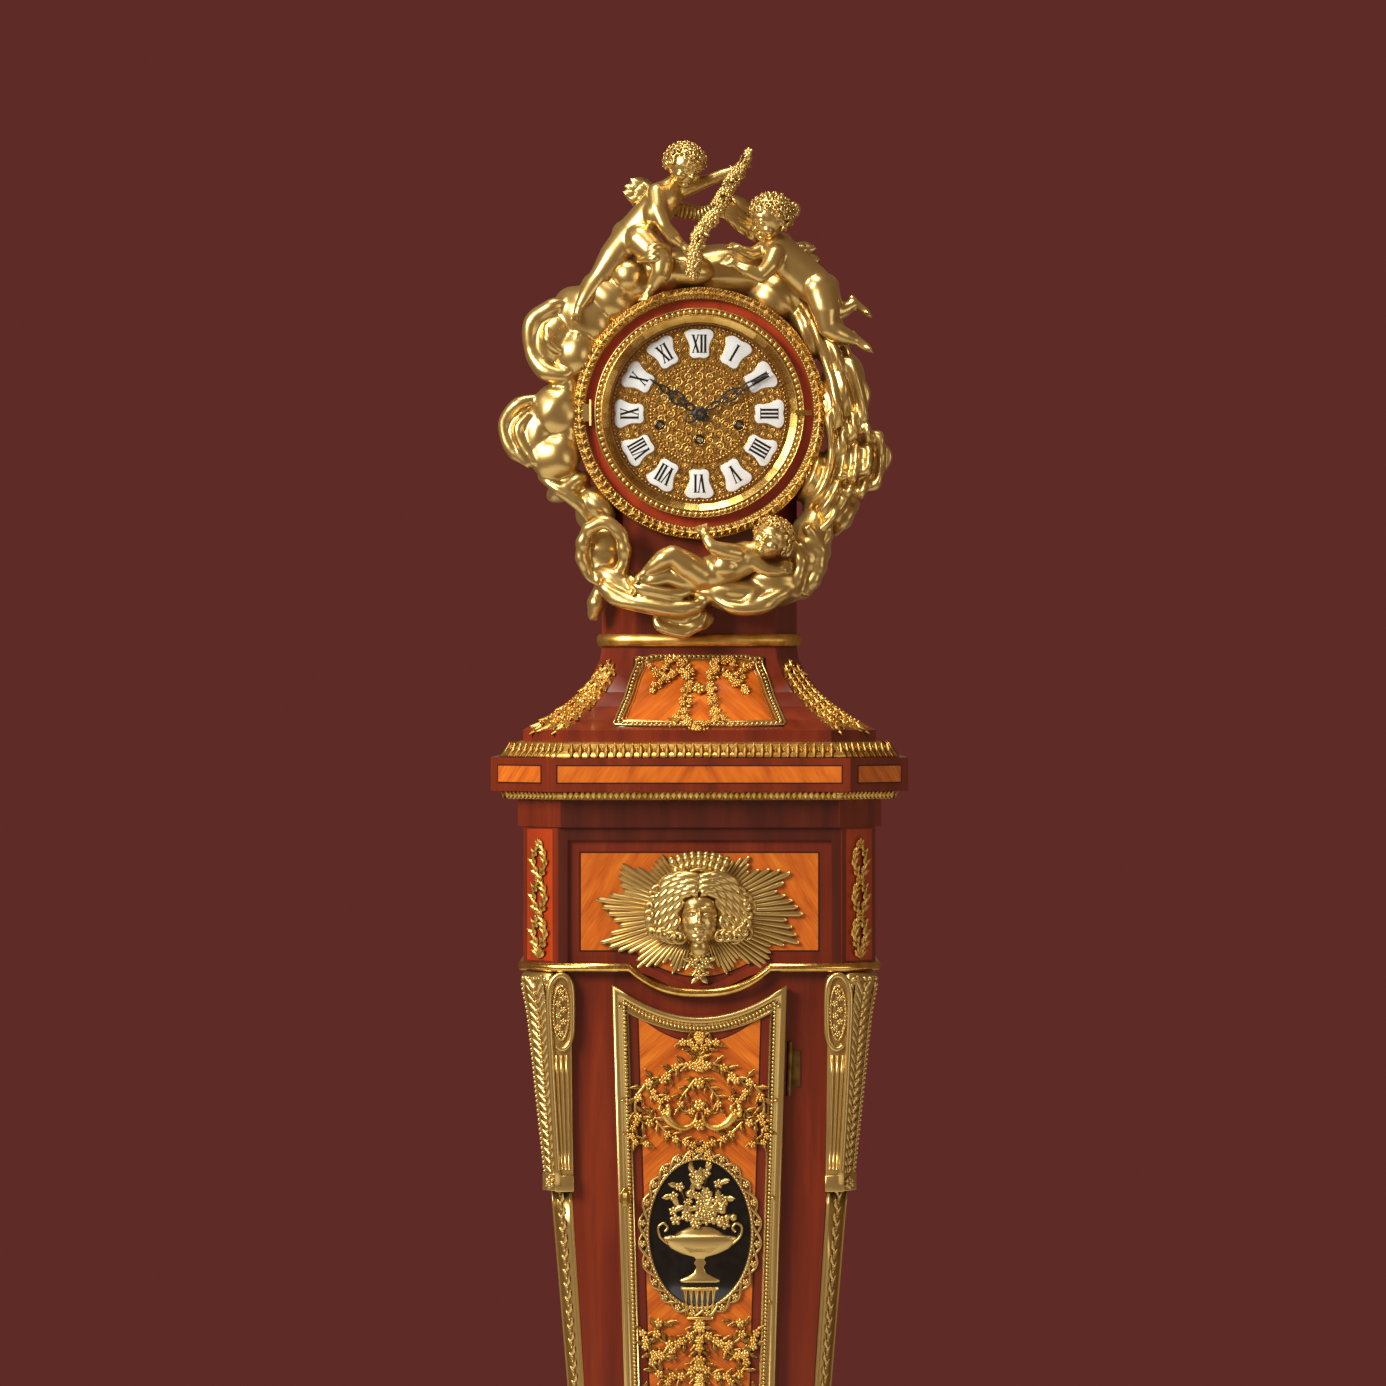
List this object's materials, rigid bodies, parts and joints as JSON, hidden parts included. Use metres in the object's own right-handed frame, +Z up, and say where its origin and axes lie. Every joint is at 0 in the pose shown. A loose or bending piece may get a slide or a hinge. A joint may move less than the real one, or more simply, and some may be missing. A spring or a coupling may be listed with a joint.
{
  "type": "longcase clock",
  "caption": "Weight-driven longcase clock with a round head in gilt clouds and cherubs on a tapered marquetry trunk; door, bezel, hands, pendulum and weights move",
  "frame": {"origin": "middle of the footprint on the floor", "axes": "+X to the right seen from the front, +Y to the back, +Z up"},
  "size_m": [0.545, 0.35, 2.4046],
  "materials": {
    "mahogany": "french-polished mahogany with satinwood panels",
    "dark_wood": "plain dark-stained board",
    "gilt_bronze": "gilt bronze, burnished on the high spots",
    "dial_brass": "engraved and matted gilt brass with white enamel plaques",
    "brass": "lacquered clock brass",
    "steel": "polished steel",
    "black_steel": "blackened pierced steel",
    "clear_glass": "clear domed glass"
  },
  "bodies": {
    "case": {"plinth_block": "mahogany", "trunk_case": "mahogany", "frieze_case": "mahogany", "entablature_slab": "mahogany", "neck_case": "mahogany", "drum_case": "mahogany", "trunk_back_board": "dark_wood", "seat_board": "dark_wood", "plinth_moulding": "gilt_bronze", "door_hinge_lower": "gilt_bronze", "door_hinge_upper": "gilt_bronze", "belt_moulding": "gilt_bronze", "console_left": "gilt_bronze", "console_right": "gilt_bronze", "sunburst_mount": "gilt_bronze", "mask_mount": "gilt_bronze", "entablature_under_moulding": "gilt_bronze", "entablature_leaf_moulding": "gilt_bronze", "neck_collar": "gilt_bronze", "drum_ring": "gilt_bronze", "cherub_upper_left": "gilt_bronze", "cherub_upper_right": "gilt_bronze", "cherub_lower": "gilt_bronze", "flower_garland": "gilt_bronze", "cloud_left": "gilt_bronze", "cloud_right": "gilt_bronze", "drapery_lower": "gilt_bronze", "dial_plate": "dial_brass", "front_plate": "brass", "back_plate": "brass", "strike_cable": "steel", "going_cable": "steel", "chime_cable": "steel", "gong": "steel"},
    "door": {"trunk_door": "mahogany", "door_frame_moulding": "gilt_bronze"},
    "key": {"door_key": "steel"},
    "bezel": {"bezel": "gilt_bronze", "bezel_glass": "clear_glass"},
    "catch": {"bezel_catch": "gilt_bronze"},
    "minute": {"minute_hand": "black_steel", "centre_wheel": "brass"},
    "hour": {"hour_hand": "black_steel"},
    "motion": {"motion_wheel": "brass"},
    "third": {"third_wheel": "brass"},
    "escape": {"escape_wheel": "brass"},
    "anchor": {"anchor": "steel"},
    "pendulum": {"pendulum_rod": "steel", "pendulum_bob": "brass"},
    "nut": {"rating_nut": "brass"},
    "hammer": {"strike_hammer": "steel"},
    "strike_barrel": {"strike_barrel": "brass"},
    "strike_weight": {"strike_weight": "brass"},
    "strike_pulley": {"strike_pulley": "brass"},
    "going_barrel": {"going_barrel": "brass"},
    "going_weight": {"going_weight": "brass"},
    "going_pulley": {"going_pulley": "brass"},
    "chime_barrel": {"chime_barrel": "brass"},
    "chime_weight": {"chime_weight": "brass"},
    "chime_pulley": {"chime_pulley": "brass"}
  },
  "joints": [
    {"name": "door_swing", "type": "hinge", "parent": "case", "child": "door", "pos_m": [0.10743, -0.126, 0.875], "axis": [0.03, 0, 0.9996], "range_deg": [0, 100]},
    {"name": "key_turn", "type": "hinge", "parent": "door", "child": "key", "pos_m": [-0.09637, -0.1358, 1.023], "axis": [0, 1, 0], "range_deg": [0, 90]},
    {"name": "bezel_swing", "type": "hinge", "parent": "case", "child": "bezel", "pos_m": [-0.143, -0.0573, 2.046], "axis": [0, 0, -1], "range_deg": [0, 95]},
    {"name": "catch_turn", "type": "hinge", "parent": "bezel", "child": "catch", "pos_m": [0.133, -0.0588, 2.046], "axis": [0, 1, 0], "range_deg": [0, 90]},
    {"name": "minute_turn", "type": "hinge", "parent": "case", "child": "minute", "pos_m": [0, 0, 2.046], "axis": [0, 1, 0], "continuous": true},
    {"name": "hour_turn", "type": "hinge", "parent": "case", "child": "hour", "pos_m": [0, 0, 2.046], "axis": [0, 1, 0], "continuous": true},
    {"name": "motion_turn", "type": "hinge", "parent": "case", "child": "motion", "pos_m": [0, 0, 2.0652], "axis": [0, 1, 0], "continuous": true},
    {"name": "third_turn", "type": "hinge", "parent": "case", "child": "third", "pos_m": [-0.02209, 0, 2.06187], "axis": [0, 1, 0], "continuous": true},
    {"name": "escape_turn", "type": "hinge", "parent": "case", "child": "escape", "pos_m": [0, 0, 2.074], "axis": [0, 1, 0], "continuous": true},
    {"name": "pendulum_swing", "type": "hinge", "parent": "case", "child": "pendulum", "pos_m": [0, 0.104, 2.098], "axis": [0, 1, 0], "range_deg": [-3, 3]},
    {"name": "anchor_rock", "type": "hinge", "parent": "case", "child": "anchor", "pos_m": [0, 0.07, 2.098], "axis": [0, 1, 0], "range_deg": [-3, 3]},
    {"name": "nut_turn", "type": "hinge", "parent": "pendulum", "child": "nut", "pos_m": [0, 0.104, 1.038], "axis": [0, 0, 1], "range_deg": [-360, 360]},
    {"name": "hammer_lift", "type": "hinge", "parent": "case", "child": "hammer", "pos_m": [0.06, 0.1, 2.081], "axis": [0, -1, 0], "range_deg": [0, 18]},
    {"name": "strike_drop", "type": "slide", "parent": "case", "child": "strike_weight", "axis": [0, 0, 1], "range_m": [0, 0.9], "deforming": ["strike_cable"]},
    {"name": "strike_wind", "type": "hinge", "parent": "case", "child": "strike_barrel", "pos_m": [-0.052, 0.02, 2.031], "axis": [0, 1, 0], "continuous": true},
    {"name": "strike_sheave", "type": "hinge", "parent": "strike_weight", "child": "strike_pulley", "pos_m": [-0.052, 0.023, 0.574], "axis": [0, 1, 0], "continuous": true},
    {"name": "going_drop", "type": "slide", "parent": "case", "child": "going_weight", "axis": [0, 0, 1], "range_m": [0, 0.9], "deforming": ["going_cable"]},
    {"name": "going_wind", "type": "hinge", "parent": "case", "child": "going_barrel", "pos_m": [0, 0.02, 2.012], "axis": [0, 1, 0], "continuous": true},
    {"name": "going_sheave", "type": "hinge", "parent": "going_weight", "child": "going_pulley", "pos_m": [0, 0.023, 0.574], "axis": [0, 1, 0], "continuous": true},
    {"name": "chime_drop", "type": "slide", "parent": "case", "child": "chime_weight", "axis": [0, 0, 1], "range_m": [0, 0.9], "deforming": ["chime_cable"]},
    {"name": "chime_wind", "type": "hinge", "parent": "case", "child": "chime_barrel", "pos_m": [0.052, 0.02, 2.031], "axis": [0, 1, 0], "continuous": true},
    {"name": "chime_sheave", "type": "hinge", "parent": "chime_weight", "child": "chime_pulley", "pos_m": [0.052, 0.023, 0.574], "axis": [0, 1, 0], "continuous": true}
  ],
  "couplings": [
    {"joint": "hour_turn", "follows": "minute_turn", "ratio": 0.083333},
    {"joint": "motion_turn", "follows": "minute_turn", "ratio": -0.33333},
    {"joint": "third_turn", "follows": "minute_turn", "ratio": -7.5},
    {"joint": "escape_turn", "follows": "minute_turn", "ratio": 60},
    {"joint": "anchor_rock", "follows": "pendulum_swing", "ratio": 1},
    {"joint": "strike_wind", "follows": "strike_drop", "rad_per_m": -98.522},
    {"joint": "strike_sheave", "follows": "strike_drop", "rad_per_m": -49.261},
    {"joint": "going_wind", "follows": "going_drop", "rad_per_m": -98.522},
    {"joint": "going_sheave", "follows": "going_drop", "rad_per_m": -49.261},
    {"joint": "chime_wind", "follows": "chime_drop", "rad_per_m": -98.522},
    {"joint": "chime_sheave", "follows": "chime_drop", "rad_per_m": -49.261}
  ]
}
